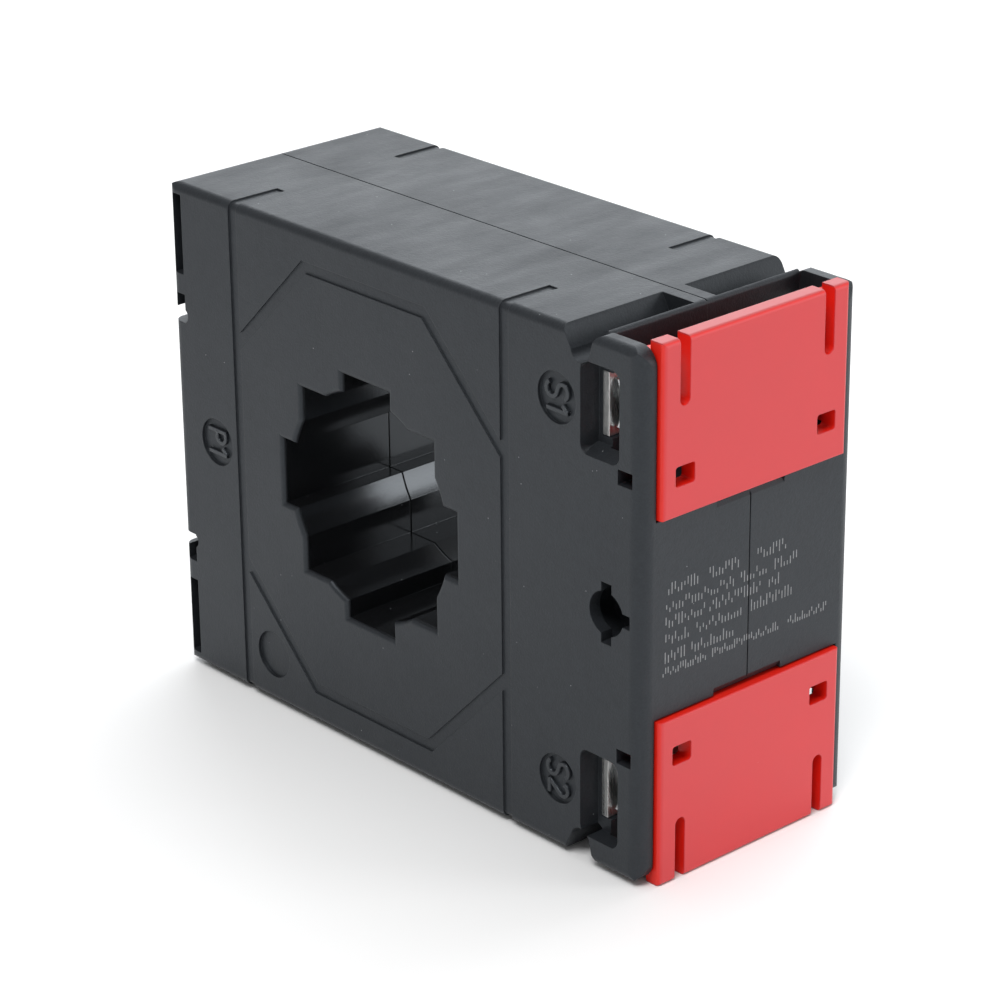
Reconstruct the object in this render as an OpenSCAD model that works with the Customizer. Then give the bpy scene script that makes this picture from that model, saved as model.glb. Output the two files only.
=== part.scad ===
// Window type current transformer in a two shell moulded case, with hinged terminal covers.
// X runs from the foot end to the terminal face, Y through the busbar window, Z across the terminals.

/* [Case] */
// Width of the case across the two terminals, mm
case_width = 86; // [85:0.5:88]
// Depth of the case along the busbar, mm
case_depth = 45.3; // [43.5:0.1:50]
// Length from the foot end to the terminal face, mm
case_length = 111.1; // [108.1:0.2:114.1]
// Thickness of the large walls, mm
wall = 2.5; // [2.2:0.1:2.7]
// Thickness of the solid foot end, mm
foot_wall = 6; // [5:0.5:7]
// Rounding of the long edges of the case, mm
edge_round = 1.4; // [0.8:0.1:1.8]
// Rounding of the upright edges at the foot end, mm
foot_round = 2.1; // [1.2:0.1:2.4]
// Rounding of the upright edges at the terminal face, mm
face_round = 2.5; // [2:0.1:3]
// Radius of the case corners at the foot end, mm
foot_corner = 2.2; // [1:0.1:3]
// Radius of the case corners at the terminal face, mm
face_corner = 3; // [2:0.1:3.4]
// Width of the parting line between the shells, mm
seam_width = 0.24; // [0.1:0.02:0.4]
// Depth of the parting line, mm
seam_depth = 0.3; // [0.1:0.05:0.5]

/* [Busbar window] */
// Distance of the window axis from the middle of the case, toward the foot end, mm
window_shift = 6.4; // [5.9:0.1:6.7]
// Length of the two crossed busbar slots, mm
bar_length = 42.3; // [40.5:0.1:42.6]
// Width of the two crossed busbar slots, mm
bar_width = 11.4; // [10.2:0.1:12]
// Side of the square bar opening, mm
square_bar = 32; // [30:0.5:32.5]
// Diameter of the round conductor opening, mm
round_bar = 37.8; // [36:0.1:38.4]
// Rounding of the window lip, mm
window_lip = 0.8; // [0.4:0.1:1]
// Thickness of the window tube, mm
window_wall = 2; // [1.6:0.1:2.2]

/* [Panel grooves] */
// Distance of the first cross groove from the foot end, mm
groove_1 = 16; // [15:0.1:18]
// Distance of the second cross groove from the terminal face, mm
groove_back = 30.4; // [29.6:0.1:31.2]
// Width of the panel grooves, mm
groove_width = 2; // [1:0.1:2.2]
// Depth of the panel grooves, mm
groove_depth = 0.3; // [0.1:0.05:0.4]
// Reach of the cross grooves over the sides, mm
groove_wrap = 10.2; // [4:0.2:14]
// Distance of the octagon groove from the sides, mm
octagon_inset = 5.3; // [4:0.1:6]
// Outer length of the flat of the octagon, mm
octagon_flat = 29.4; // [26:0.2:34]

/* [Marking pads] */
// Diameter of the marking pads, mm
pad_diameter = 8.2; // [6:0.1:8.4]
// Depth of the marking pads, mm
pad_depth = 0.55; // [0.3:0.05:0.7]
// Distance of the secondary pads from the terminal face, mm
pad_s_back = 17.9; // [17.7:0.1:18.1]
// Distance of the secondary pads from the case side, mm
pad_s_side = 11.7; // [11:0.1:14]
// Distance of the primary pad from the foot end, mm
pad_p_x = 10.7; // [10:0.1:11.4]
// Distance of the plain pad from the foot end, mm
pad_c_x = 23.8; // [23:0.1:25]
// Distance of the plain pad from the case side, mm
pad_c_z = 8.6; // [8:0.1:9.4]

/* [Foot slots] */
// Width of the bracket slots, mm
slot_width = 2.4; // [1.6:0.1:2.6]
// Length of the bracket slots, mm
slot_length = 13.7; // [10:0.1:14]
// Distance of the bracket slots from the foot end, mm
slot_inset = 1.1; // [1:0.1:1.4]
// Distance of the bracket slots from the case side, mm
slot_side = 1.8; // [1.8:0.1:2.4]
// Depth of the bracket slots, mm
slot_depth = 8; // [4:0.5:12]
// Length of the hook pockets, mm
hook_length = 5; // [4:0.1:5.4]
// Depth of the hook pockets, mm
hook_depth = 4; // [3:0.1:6]
// Distance of the hook pockets from the case side, mm
hook_side = 19; // [18.5:0.1:20]
// Length of the hook mouth in the foot end, mm
hook_mouth = 2.5; // [2:0.1:3]

/* [Terminal block] */
// Distance of the side notch from the terminal face, mm
notch_back = 16.7; // [16.4:0.1:16.7]
// Width of the side notch at the case side, mm
notch_width = 6.6; // [6.2:0.1:6.7]
// Depth of the side notch, mm
notch_depth = 5; // [4:0.1:5.2]
// Thickness of the rib across the notch, mm
notch_rib = 4.6; // [3:0.2:6]
// Thickness of the walls beside the covers, mm
block_wall = 2.9; // [2.6:0.1:3]
// Depth of the wire floor below the terminal face, mm
wire_depth = 9.5; // [9.2:0.1:9.6]
// Rounding of the wire floor rim, mm
rim_round = 0.8; // [0.3:0.1:0.9]
// Depth of the terminal plate seat below the terminal face, mm
seat_depth = 11.6; // [11.4:0.1:11.8]
// Width of the side wire window, mm
entry_width = 8.2; // [6:0.1:8.4]
// Length of the side wire window, mm
entry_length = 14.6; // [10:0.1:15]
// Start of the side wire window below the terminal face, mm
entry_back = 12.9; // [12.6:0.1:13.1]
// Corner radius of the side wire window, mm
entry_round = 1.6; // [0.6:0.1:2]
// Slope of the side wire window walls over the wall, mm
entry_slope = 1.1; // [0.4:0.1:1.4]
// Width of the latch window, mm
latch_width = 3; // [2:0.1:3.1]
// Length of the latch window, mm
latch_length = 2.4; // [1.6:0.1:2.8]
// Distance of the latch window from the case side, mm
latch_side = 20.4; // [20:0.1:21]
// Radius of the accessory socket, mm
socket_radius = 3.6; // [3:0.1:3.8]
// Reach of the accessory socket lobes, mm
socket_reach = 4.95; // [4.4:0.05:5]
// Width of the accessory socket lobes, mm
socket_lobe = 2.2; // [1.6:0.1:2.6]
// Distance of the accessory socket from the terminal face, mm
socket_back = 7.3; // [7.2:0.1:7.7]
// Width of the pry recess, mm
pry_width = 14.5; // [8:0.5:20]
// Depth of the pry recess, mm
pry_depth = 0.7; // [0.4:0.1:1]

/* [Terminal covers] */
// Length of each cover, mm
cover_length = 27.5; // [26.8:0.1:27.8]
// Thickness of each cover, mm
cover_thickness = 2.8; // [2.4:0.1:3]
// Reach of the covers past the case sides, mm
cover_over = 0.8; // [0.5:0.1:1]
// Height of the covers over the terminal face, mm
cover_proud = 1.1; // [0.8:0.1:1.4]
// Gap beside the covers, mm
cover_gap = 0.3; // [0.3:0.05:0.4]
// Rounding of the cover edges, mm
cover_round = 0.8; // [0.3:0.1:1]
// Width of the cover slots, mm
finger_slot = 2.1; // [1.4:0.1:2.4]
// Length of the cover slots, mm
finger_length = 10.4; // [8.8:0.1:11.8]
// Distance of the cover slots from the mid plane, mm
finger_offset = 15.1; // [14.8:0.1:15.2]
// Width of the sealing holes, mm
seal_width = 4; // [3:0.1:4.2]
// Length of the sealing holes, mm
seal_length = 3.2; // [2.5:0.1:4]
// Distance of the sealing holes from the mid plane, mm
seal_offset = 14.9; // [14.4:0.1:14.9]
// Distance of the sealing holes from the inner edge, mm
seal_inset = 6.3; // [5.5:0.1:7]
// Radius of the hinge pins, mm
pin_radius = 1.2; // [1:0.1:1.3]
// Clearance around the hinge pins, mm
pin_clearance = 0.08; // [0.05:0.01:0.1]
// Length of the hinge pins beyond the cover, mm
pin_length = 1.4; // [1:0.1:1.5]
// Distance of the hinge axis from the case side, mm
hinge_inset = 2.8; // [2.6:0.1:3]
// Distance of the hinge axis below the cover, mm
hinge_drop = 1.5; // [1.4:0.1:1.6]

/* [Terminals] */
// Width of the terminal plates, mm
plate_width = 10; // [9:0.1:10.4]
// Thickness of the terminal plates, mm
plate_thickness = 1.3; // [1:0.1:1.4]
// Distance of the screws from the case faces, mm
screw_inset = 9; // [8.6:0.1:9.6]
// Distance of the screws from the case side, mm
screw_side = 11.6; // [11.4:0.1:11.8]
// Nominal radius of the clamp screws, mm
screw_radius = 1.95; // [1.9:0.01:2]
// Clearance around the clamp screws in their nuts, mm
screw_clearance = 0.08; // [0.05:0.01:0.1]
// Length of the clamp screws under the head, mm
screw_length = 7.7; // [7.2:0.1:8]
// Radius of the screw heads, mm
head_radius = 3.8; // [3.4:0.1:4]
// Height of the screw heads, mm
head_height = 2.6; // [2.2:0.1:2.7]
// Width of the clamp washers, mm
clamp_width = 8.8; // [8:0.1:9]
// Length of the clamp washers, mm
clamp_length = 7.6; // [7:0.1:8]
// Thickness of the clamp washers, mm
clamp_thickness = 0.9; // [0.7:0.1:1]
// Bow height of the clamp washers, mm
clamp_bow = 0.9; // [0.6:0.1:1]
// Gap between parts that move past each other, mm
running_gap = 0.3; // [0.3:0.05:0.35]
// Width of the square nuts, mm
nut_width = 7; // [6:0.1:7.4]
// Thickness of the square nuts, mm
nut_thickness = 2.5; // [2:0.1:2.8]

/* [Core and windings] */
// Gap between the window tube and the wound ring, mm
ring_gap = 0.4; // [0.3:0.05:0.6]
// Gap between the wound ring and the case sides, mm
ring_side_gap = 1.9; // [1.5:0.1:3]
// Gap between the wound ring and the foot end, mm
ring_foot_gap = 4.9; // [4.5:0.1:6]
// Gap between the wound ring and the terminal block, mm
ring_block_gap = 5.1; // [4.5:0.1:6]
// Thickness of the end cushions, mm
cushion = 2.1; // [1.6:0.1:2.4]
// Thickness of the outer tape, mm
outer_tape_thickness = 0.5; // [0.3:0.05:0.7]
// Thickness of the secondary winding, mm
winding = 2.2; // [1.6:0.1:2.6]
// Thickness of the core insulation, mm
core_tape_thickness = 0.4; // [0.3:0.05:0.6]
// Radius of the insulated leads, mm
lead_radius = 1.1; // [0.8:0.05:1.2]
// Radius of the bare lead ends, mm
lead_core = 0.6; // [0.4:0.05:0.7]

/* [Hidden] */
$fa = 5;
$fs = 0.4;
e = 0.5;
mid_y = case_depth / 2;
mid_z = case_width / 2;
window_x = case_length / 2 - window_shift;
groove_2 = case_length - groove_back;
pad_s_x = case_length - pad_s_back;
notch_x = case_length - notch_back;
wire_floor = case_length - wire_depth;
plate_seat = case_length - seat_depth;
entry_x = case_length - entry_back;
socket_x = case_length - socket_back;
block_depth = 18.6;
block_x = case_length - block_depth;
overall_length = case_length + cover_proud;
cover_under = overall_length - cover_thickness;
cover_y = block_wall + cover_gap;
cover_end = case_width + cover_over;
cover_inner_z = cover_end - cover_length;
face_z = cover_inner_z - 0.3;
chamber_z = face_z + 2;
entry_z = case_width - screw_side - entry_length / 2;
latch_z = case_width - latch_side;
tube_reach = max(norm([bar_length / 2 + window_wall, bar_width / 2 + window_wall]),
    norm([square_bar / 2, square_bar / 2]) + window_wall, round_bar / 2 + window_wall);
ring_inner = tube_reach + ring_gap;
ring_outer = min(mid_z - wall - ring_side_gap, window_x - foot_wall - ring_foot_gap, block_x - window_x - ring_block_gap);
hinge_x = cover_under - hinge_drop;
hinge_z = case_width - hinge_inset;
screw_za = case_width - screw_side;
plate_z0 = screw_za - plate_width / 2;
clamp_base = plate_seat + plate_thickness + running_gap;
head_base = clamp_base + clamp_bow + clamp_thickness + running_gap;
floor_under = case_length - seat_depth - 4.2;
fit = 0.1;
tab_width = 4;
tab_length = 9.7;
tab_tip = plate_seat - tab_length;
lead_turn = 50;
lead_rise = 2.4;
lead_run = 5;
lead_strip = 1;
lead_bare = 5.5;
peg_radius = 1.6;
peg_length = 6;
boss_radius = 3.2;
peg_inset = 4.5;
rib_spread = 7;
rib_thickness = 2;
rib_gap = 0.2;
block_reach = 18.4;

// Extrusions of a drawing along each axis
module along_y(y0, y1) translate([0, y1, 0]) rotate([90, 0, 0]) linear_extrude(y1 - y0) children();
module along_x(x0, x1) translate([x0, 0, 0]) rotate([90, 0, 90]) linear_extrude(x1 - x0) children();
module along_z(z0, z1) translate([0, 0, z0]) linear_extrude(z1 - z0) children();

// Part above the mid plane, and the same part below it
module both_sides() { children(); translate([0, 0, case_width]) mirror([0, 0, 1]) children(); }
module low_side() translate([0, 0, case_width]) mirror([0, 0, 1]) children();
module rear_side() translate([0, case_depth, 0]) mirror([0, 1, 0]) children();

// Rectangle from a to b with four corner radii, counter clockwise from the first corner
module rounded(a, b, r) difference() {
    translate(a) square(b - a);
    corner(a, [1, 1], r[0]);
    corner([b[0], a[1]], [-1, 1], r[1]);
    corner(b, [-1, -1], r[2]);
    corner([a[0], b[1]], [1, -1], r[3]);
}
module corner(p, s, r) if (r > 0) difference() {
    translate([p[0] + (s[0] > 0 ? -1 : -r), p[1] + (s[1] > 0 ? -1 : -r)]) square(r + 1);
    translate([p[0] + s[0] * r, p[1] + s[1] * r]) circle(r);
}

// Whole outer body of the case, shrunk by inset
module body(inset = 0) intersection() {
    along_y(inset, case_depth - inset)
        rounded([inset, inset], [case_length - inset, case_width - inset],
            [foot_corner - inset, face_corner - inset, face_corner - inset, foot_corner - inset]);
    along_x(-e, case_length + e)
        rounded([inset, inset], [case_depth - inset, case_width - inset],
            [edge_round - inset, edge_round - inset, edge_round - inset, edge_round - inset]);
    along_z(-e, case_width + e)
        rounded([inset, inset], [case_length - inset, case_depth - inset],
            [foot_round - inset, face_round - inset, face_round - inset, foot_round - inset]);
}

// Lipped drawing of one hole: half width h about c, open to y0 with a rounded lip
module lip(c, h) {
    translate([c - h, -e]) square([2 * h, mid_y + 2 * e]);
    translate([c - h - window_lip, -e]) square([2 * h + 2 * window_lip, e]);
    difference() {
        translate([c - h - window_lip, -0.01]) square([2 * (h + window_lip), window_lip + 0.01]);
        translate([c - h - window_lip, window_lip]) circle(window_lip);
        translate([c + h + window_lip, window_lip]) circle(window_lip);
    }
}
module lipped_box(hx, hz) intersection() {
    along_z(mid_z - hz - window_lip - e, mid_z + hz + window_lip + e) lip(window_x, hx);
    translate([window_x - hx - window_lip - e, 0, 0]) rotate([90, 0, 90])
        linear_extrude(2 * (hx + window_lip + e)) lip_t(mid_z, hz);
}
module lip_t(c, h) mirror([0, 0]) {
    translate([-e, c - h]) square([mid_y + 2 * e, 2 * h]);
    translate([-e, c - h - window_lip]) square([e, 2 * h + 2 * window_lip]);
    difference() {
        translate([-0.01, c - h - window_lip]) square([window_lip + 0.01, 2 * (h + window_lip)]);
        translate([window_lip, c - h - window_lip]) circle(window_lip);
        translate([window_lip, c + h + window_lip]) circle(window_lip);
    }
}
module window_cut() {
    lipped_box(bar_length / 2, bar_width / 2);
    lipped_box(bar_width / 2, bar_length / 2);
    lipped_box(square_bar / 2, square_bar / 2);
    translate([window_x, 0, mid_z]) rotate([-90, 0, 0]) rotate_extrude() difference() {
        union() {
            translate([0, -e]) square([round_bar / 2, mid_y + 2 * e]);
            translate([0, -e]) square([round_bar / 2 + window_lip, window_lip + e]);
        }
        translate([round_bar / 2 + window_lip, window_lip]) circle(window_lip);
    }
}
module window_shape(grow) {
    translate([window_x, mid_z]) {
        square([bar_length + 2 * grow, bar_width + 2 * grow], center = true);
        square([bar_width + 2 * grow, bar_length + 2 * grow], center = true);
        intersection() {
            square([square_bar + 2 * grow, square_bar + 2 * grow], center = true);
            circle(norm([square_bar / 2, square_bar / 2]) + grow);
        }
        circle(round_bar / 2 + grow);
    }
}

// Side notch on the upper side, as a drawing in X and Z
module notch_shape() {
    x1 = notch_x + notch_width;
    translate([notch_x + 3.8, case_width - notch_depth + 2]) circle(2);
    polygon([[notch_x, case_width + 1], [notch_x, case_width],
        [notch_x + 1.85, case_width - notch_depth + 1.6], [notch_x + 3.8, case_width - notch_depth + 1.2],
        [notch_x + 5.72, case_width - notch_depth + 1.4], [x1, case_width], [x1, case_width + 1]]);
}

// Octagon drawn in X and Z, shrunk by d
module octagon(d) {
    w = case_width / 2 - octagon_inset - d;
    x0 = groove_1 - window_x + d;
    x1 = groove_2 + groove_width - window_x - d;
    f = octagon_flat / 2 - d * 0.4142;
    translate([window_x, mid_z]) intersection() {
        polygon([[x0, -w], [x1, -w], [x1, w], [x0, w]]);
        rotate(45) square(sqrt(2) * (w + f), center = true);
    }
}

// Grooves, pads, slots and pockets cut in the outside of the front half
module front_cuts() {
    // cross grooves, wrapped over both sides
    for (x = [groove_1, groove_2]) difference() {
        translate([x, -e, -e]) cube([groove_width, groove_wrap + e, case_width + 2 * e]);
        along_x(x - e, x + groove_width + e)
            rounded([groove_depth, groove_depth], [case_depth, case_width - groove_depth],
                [edge_round - groove_depth, 0, 0, edge_round - groove_depth]);
    }
    along_y(-e, groove_depth) difference() { octagon(0); octagon(groove_width); }
    // marking pads
    for (p = [[pad_s_x, case_width - pad_s_side], [pad_s_x, pad_s_side], [pad_p_x, mid_z], [pad_c_x, pad_c_z]])
        translate([p[0], pad_depth, p[1]]) rotate([90, 0, 0]) cylinder(d = pad_diameter, h = pad_depth + e);
    both_sides() {
        // bracket slot and hook pocket
        translate([slot_inset, -e, case_width - slot_side - slot_length]) cube([slot_width, slot_depth + e, slot_length]);
        translate([slot_inset, -e, case_width - hook_side - hook_length]) cube([slot_width, hook_depth + e, hook_length]);
        translate([-e, -e, case_width - hook_side - hook_length]) cube([slot_inset + slot_width + e - hook_mouth / 4, hook_depth - 0.6 + e, hook_mouth]);
        translate([slot_inset + slot_width - hook_mouth / 4, -e, case_width - hook_side - hook_length + hook_mouth / 2]) rotate([-90, 0, 0])
            cylinder(d = hook_mouth, h = hook_depth - 0.6 + e);
        // side notch
        along_y(-e, mid_y - notch_rib / 2) notch_shape();
    }
}

// Hollow inside of the front half
module front_cavity() {
    difference() {
        union() {
            translate([foot_wall, wall, wall]) cube([block_x - foot_wall, mid_y, case_width - 2 * wall]);
            translate([block_x - fit, wall, case_width - chamber_z - block_reach]) cube([floor_under - block_x + fit, mid_y, 2 * (chamber_z + block_reach) - case_width]);
            translate([floor_under - 1, wall, case_width - face_z + 1.5]) cube([case_length - wall - floor_under + 1, mid_y, 2 * face_z - 3 - case_width]);
        }
        // window tube
        along_y(0, mid_y) window_shape(window_wall);
        // pillars for the joining pegs
        for (p = peg_points()) translate([p[0], 0, p[1]]) rotate([-90, 0, 0]) cylinder(r = boss_radius, h = mid_y);
        // ribs that hold the wound ring
        for (s = [-1, 1]) {
            z = mid_z + s * rib_spread - rib_thickness / 2;
            translate([foot_wall - e, 0, z]) cube([window_x - ring_outer - foot_wall + e - rib_gap, mid_y, rib_thickness]);
            translate([window_x + ring_outer + rib_gap, 0, z]) cube([block_x + e - window_x - ring_outer - rib_gap, mid_y, rib_thickness]);
        }
        // cup behind the accessory socket
        translate([socket_x, 0, mid_z]) rotate([-90, 0, 0]) cylinder(r = socket_reach + 1.3, h = wall + 5.5);
    }
}
function peg_points() = [for (x = [foot_wall + peg_inset, block_x - peg_inset], z = [wall + peg_inset, case_width - wall - peg_inset]) [x, z]];

module socket_cut() translate([socket_x, 0, mid_z]) rotate([-90, 0, 0]) {
    translate([0, 0, -e]) cylinder(r = socket_radius, h = wall + e);
    translate([-socket_lobe / 2, -socket_reach, -e]) cube([socket_lobe, 2 * socket_reach, wall + e]);
    translate([0, -socket_lobe / 2, -e]) cube([socket_reach, socket_lobe, wall + e]);
    translate([0, 0, wall - 0.3]) cylinder(r = socket_reach + 0.15, h = 4);
}

// Terminal chamber on the upper side, over the front half
module chamber_cut() {
    r = rim_round;
    // room under the cover, open at the end
    translate([wire_floor, block_wall, chamber_z]) cube([20, mid_y, case_width]);
    // seat for the cover plate
    translate([cover_under, block_wall, face_z]) cube([20, mid_y, case_width]);
    // rounded rim where the wires come in
    along_y(block_wall, mid_y + 1) difference() {
        translate([wire_floor - r, case_width - r]) square([r + e, r + e]);
        translate([wire_floor - r, case_width - r]) circle(r);
    }
    // seat for the terminal plate
    translate([plate_seat, block_wall, plate_z0 - fit]) cube([wire_floor - plate_seat + e, mid_y, plate_width + 2 * fit]);
    // nut pocket and screw hole
    translate([plate_seat - nut_thickness - fit, screw_inset - nut_width / 2 - fit, screw_za - nut_width / 2 - fit])
        cube([nut_thickness + fit + e, nut_width + 2 * fit, nut_width + 2 * fit]);
    translate([floor_under - 1.5, screw_inset, screw_za]) rotate([0, 90, 0]) cylinder(r = screw_radius + 0.35, h = 6);
    // slot for the soldering tab
    translate([floor_under - 1.5, mid_y - tab_width / 2 - fit, plate_z0 - fit]) cube([plate_seat - floor_under + 2.5, tab_width, plate_thickness + 2 * fit]);
    // side wire window with two sloped walls
    intersection() {
        along_y(-e, block_wall + 0.4) rounded([entry_x, entry_z], [entry_x + entry_width, entry_z + entry_length],
            [entry_round, entry_round, entry_round, entry_round]);
        along_z(entry_z - e, entry_z + entry_length + e)
            polygon([[entry_x - entry_slope * 0.1, -e - 0.01], [entry_x + entry_slope * 0.5, block_wall + 0.5],
                [entry_x + entry_width + e, block_wall + 0.5], [entry_x + entry_width + e, -e - 0.01]]);
        along_x(entry_x - e, entry_x + entry_width + e)
            polygon([[-e - 0.01, entry_z - entry_slope * 0.2], [block_wall + 0.5, entry_z + entry_slope],
                [block_wall + 0.5, entry_z + entry_length + e], [-e - 0.01, entry_z + entry_length + e]]);
    }
    // latch window
    translate([cover_under - 0.3 - latch_width, -e, latch_z - latch_length / 2]) cube([latch_width, block_wall + 2 * e, latch_length]);
    // hinge hole
    translate([hinge_x, block_wall + e, hinge_z]) rotate([90, 0, 0]) cylinder(r = pin_radius + pin_clearance, h = pin_length - cover_gap + 0.2 + e);
    // pry recess in the terminal face
    along_y(mid_y - pry_width / 2, mid_y + 1)
        polygon([[case_length - pry_depth, face_z + e], [case_length - pry_depth, face_z], [case_length, face_z - 1.2],
            [case_length + e, face_z - 1.2], [case_length + e, face_z + e]]);
}

// Rounded corner beside the notch on the block wall
module block_corner() {
    x = notch_x + notch_width;
    along_y(-e, block_wall) difference() {
        translate([x - 1.2, case_width - 1.2]) square([2.7, 2.2]);
        translate([x + 1.5, case_width - 1.8]) circle(1.8);
        translate([x + 1.5, case_width - 3]) square([2, 3]);
    }
}

// Groove left along the parting line
module seam_cut() {
    s = seam_width / 2;
    along_y(mid_y - s, mid_y + e) difference() {
        translate([-e, -e]) square([case_length + 2 * e, case_width + 2 * e]);
        rounded([seam_depth, seam_depth], [case_length - seam_depth, case_width - seam_depth],
            [foot_corner - seam_depth, face_corner - seam_depth, face_corner - seam_depth, foot_corner - seam_depth]);
    }
    along_y(mid_y - s, mid_y + e) window_shape(seam_depth);
}

module half_shell() difference() {
    intersection() {
        body();
        translate([-e, -e, -e]) cube([case_length + 2 * e, mid_y + e, case_width + 2 * e]);
    }
    window_cut();
    front_cavity();
    front_cuts();
    socket_cut();
    both_sides() { chamber_cut(); block_corner(); }
    seam_cut();
}

module front_shell() color([0.17, 0.175, 0.18]) union() {
    half_shell();
    for (p = peg_points()) translate([p[0], mid_y - 1, p[1]]) rotate([-90, 0, 0]) {
        cylinder(r = peg_radius, h = peg_length + 0.5);
        translate([0, 0, peg_length + 0.5]) cylinder(r1 = peg_radius, r2 = peg_radius - 0.4, h = 0.5);
    }
}
module rear_shell() color([0.17, 0.175, 0.18]) difference() {
    rear_side() half_shell();
    for (p = peg_points()) translate([p[0], mid_y - 1, p[1]]) rotate([-90, 0, 0]) cylinder(r = peg_radius + 0.05, h = peg_length + 2);
}

// Hollow ring of wall t inside the limits
module ring(r0, r1, y0, y1, t) translate([window_x, 0, mid_z]) rotate([-90, 0, 0]) rotate_extrude() difference() {
    translate([r0, y0]) square([r1 - r0, y1 - y0]);
    if (t > 0) translate([r0 + t, y0 + t]) square([r1 - r0 - 2 * t, y1 - y0 - 2 * t]);
}
ring_y0 = wall + cushion;
tape_in = outer_tape_thickness;
wind_in = tape_in + winding;
core_in = wind_in + core_tape_thickness;

module lead_hole() for (s = [1, -1]) translate([window_x, mid_y, mid_z]) rotate([0, 90 - s * lead_turn, 0])
    translate([0, 0, ring_outer - tape_in - 0.2]) cylinder(r = lead_radius + 0.05, h = 2);

module magnetic_core() color([0.55, 0.57, 0.6])
    ring(ring_inner + core_in, ring_outer - core_in, ring_y0 + core_in, case_depth - ring_y0 - core_in, 0);
module core_tape() color([0.85, 0.78, 0.6])
    ring(ring_inner + wind_in, ring_outer - wind_in, ring_y0 + wind_in, case_depth - ring_y0 - wind_in, core_tape_thickness);
module secondary_winding() color([0.72, 0.38, 0.16])
    ring(ring_inner + tape_in, ring_outer - tape_in, ring_y0 + tape_in, case_depth - ring_y0 - tape_in, winding);
module outer_tape() color([0.86, 0.72, 0.36]) difference() {
    ring(ring_inner, ring_outer, ring_y0, case_depth - ring_y0, outer_tape_thickness);
    lead_hole();
}
module cushion_front() color([0.35, 0.35, 0.36])
    ring(ring_inner + 0.6, ring_outer - 1, wall, ring_y0, 0);
module cushion_rear() color([0.35, 0.35, 0.36])
    ring(ring_inner + 0.6, ring_outer - 1, case_depth - ring_y0, case_depth - wall, 0);

// Straight length of wire from p to q in the plane y = mid_y
module wire(p, q, r) {
    d = q - p;
    translate([p[0], mid_y, p[1]]) rotate([0, atan2(d[0], d[1]), 0]) cylinder(r = r, h = norm(d));
    translate([q[0], mid_y, q[1]]) sphere(r + 0.03);
}
function polar(r, a) = [window_x + r * cos(a), mid_z + r * sin(a)];
module lead() {
    lead_z = plate_z0 + plate_thickness + lead_core;
    strip_x = tab_tip - lead_strip;
    q1 = polar(ring_outer + lead_rise, lead_turn);
    q2 = [strip_x - lead_run, lead_z];
    wire(polar(ring_outer - tape_in, lead_turn), q1, lead_radius);
    wire(q1, q2, lead_radius);
    difference() {
        wire(q2, [strip_x, lead_z], lead_radius);
        translate([strip_x, mid_y - 2 * lead_radius, lead_z - 2 * lead_radius]) cube(4 * lead_radius);
    }
    translate([strip_x - lead_strip / 2, mid_y, lead_z]) rotate([0, 90, 0]) cylinder(r = lead_core, h = lead_bare);
}
module lead_s1() color([0.75, 0.12, 0.1]) lead();
module lead_s2() color([0.12, 0.2, 0.6]) low_side() lead();

module terminal_plate() difference() {
    union() {
        translate([plate_seat, block_wall + 0.5, plate_z0]) cube([plate_thickness, case_depth - 2 * block_wall - 1, plate_width]);
        translate([tab_tip, mid_y - tab_width / 2, plate_z0]) cube([plate_seat + plate_thickness - tab_tip, tab_width, plate_thickness]);
    }
    for (y = [screw_inset, case_depth - screw_inset]) translate([plate_seat - e, y, screw_za]) rotate([0, 90, 0])
        cylinder(r = screw_radius + 0.3, h = plate_thickness + 2 * e);
}
module terminal_plate_s1() color([0.78, 0.78, 0.76]) terminal_plate();
module terminal_plate_s2() color([0.78, 0.78, 0.76]) low_side() terminal_plate();

module nut() difference() {
    translate([plate_seat - nut_thickness, screw_inset - nut_width / 2, screw_za - nut_width / 2]) cube([nut_thickness, nut_width, nut_width]);
    translate([plate_seat - nut_thickness - e, screw_inset, screw_za]) rotate([0, 90, 0])
        cylinder(r = screw_radius + screw_clearance, h = nut_thickness + 2 * e);
}
module nut_s1_front() color([0.8, 0.76, 0.6]) nut();
module nut_s1_rear() color([0.8, 0.76, 0.6]) rear_side() nut();
module nut_s2_front() color([0.8, 0.76, 0.6]) low_side() nut();
module nut_s2_rear() color([0.8, 0.76, 0.6]) rear_side() low_side() nut();

// Bowed clamp washer
module clamp() {
    h = clamp_length / 2;
    ri = (h * h + clamp_bow * clamp_bow) / (2 * clamp_bow);
    cx = clamp_base + clamp_bow - ri;
    difference() {
        intersection() {
            translate([clamp_base - e, screw_inset - clamp_width / 2, screw_za - h]) cube([clamp_bow + clamp_thickness + 2 * e, clamp_width, clamp_length]);
            translate([cx, screw_inset - clamp_width / 2 - e, screw_za]) rotate([-90, 0, 0]) difference() {
                cylinder(r = ri + clamp_thickness, h = clamp_width + 2 * e);
                translate([0, 0, -e]) cylinder(r = ri, h = clamp_width + 4 * e);
            }
        }
        translate([clamp_base - 2 * e, screw_inset, screw_za]) rotate([0, 90, 0]) cylinder(r = screw_radius + screw_clearance, h = 5);
    }
}
module clamp_s1_front() color([0.8, 0.8, 0.78]) clamp();
module clamp_s1_rear() color([0.8, 0.8, 0.78]) rear_side() clamp();
module clamp_s2_front() color([0.8, 0.8, 0.78]) low_side() clamp();
module clamp_s2_rear() color([0.8, 0.8, 0.78]) rear_side() low_side() clamp();

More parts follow.
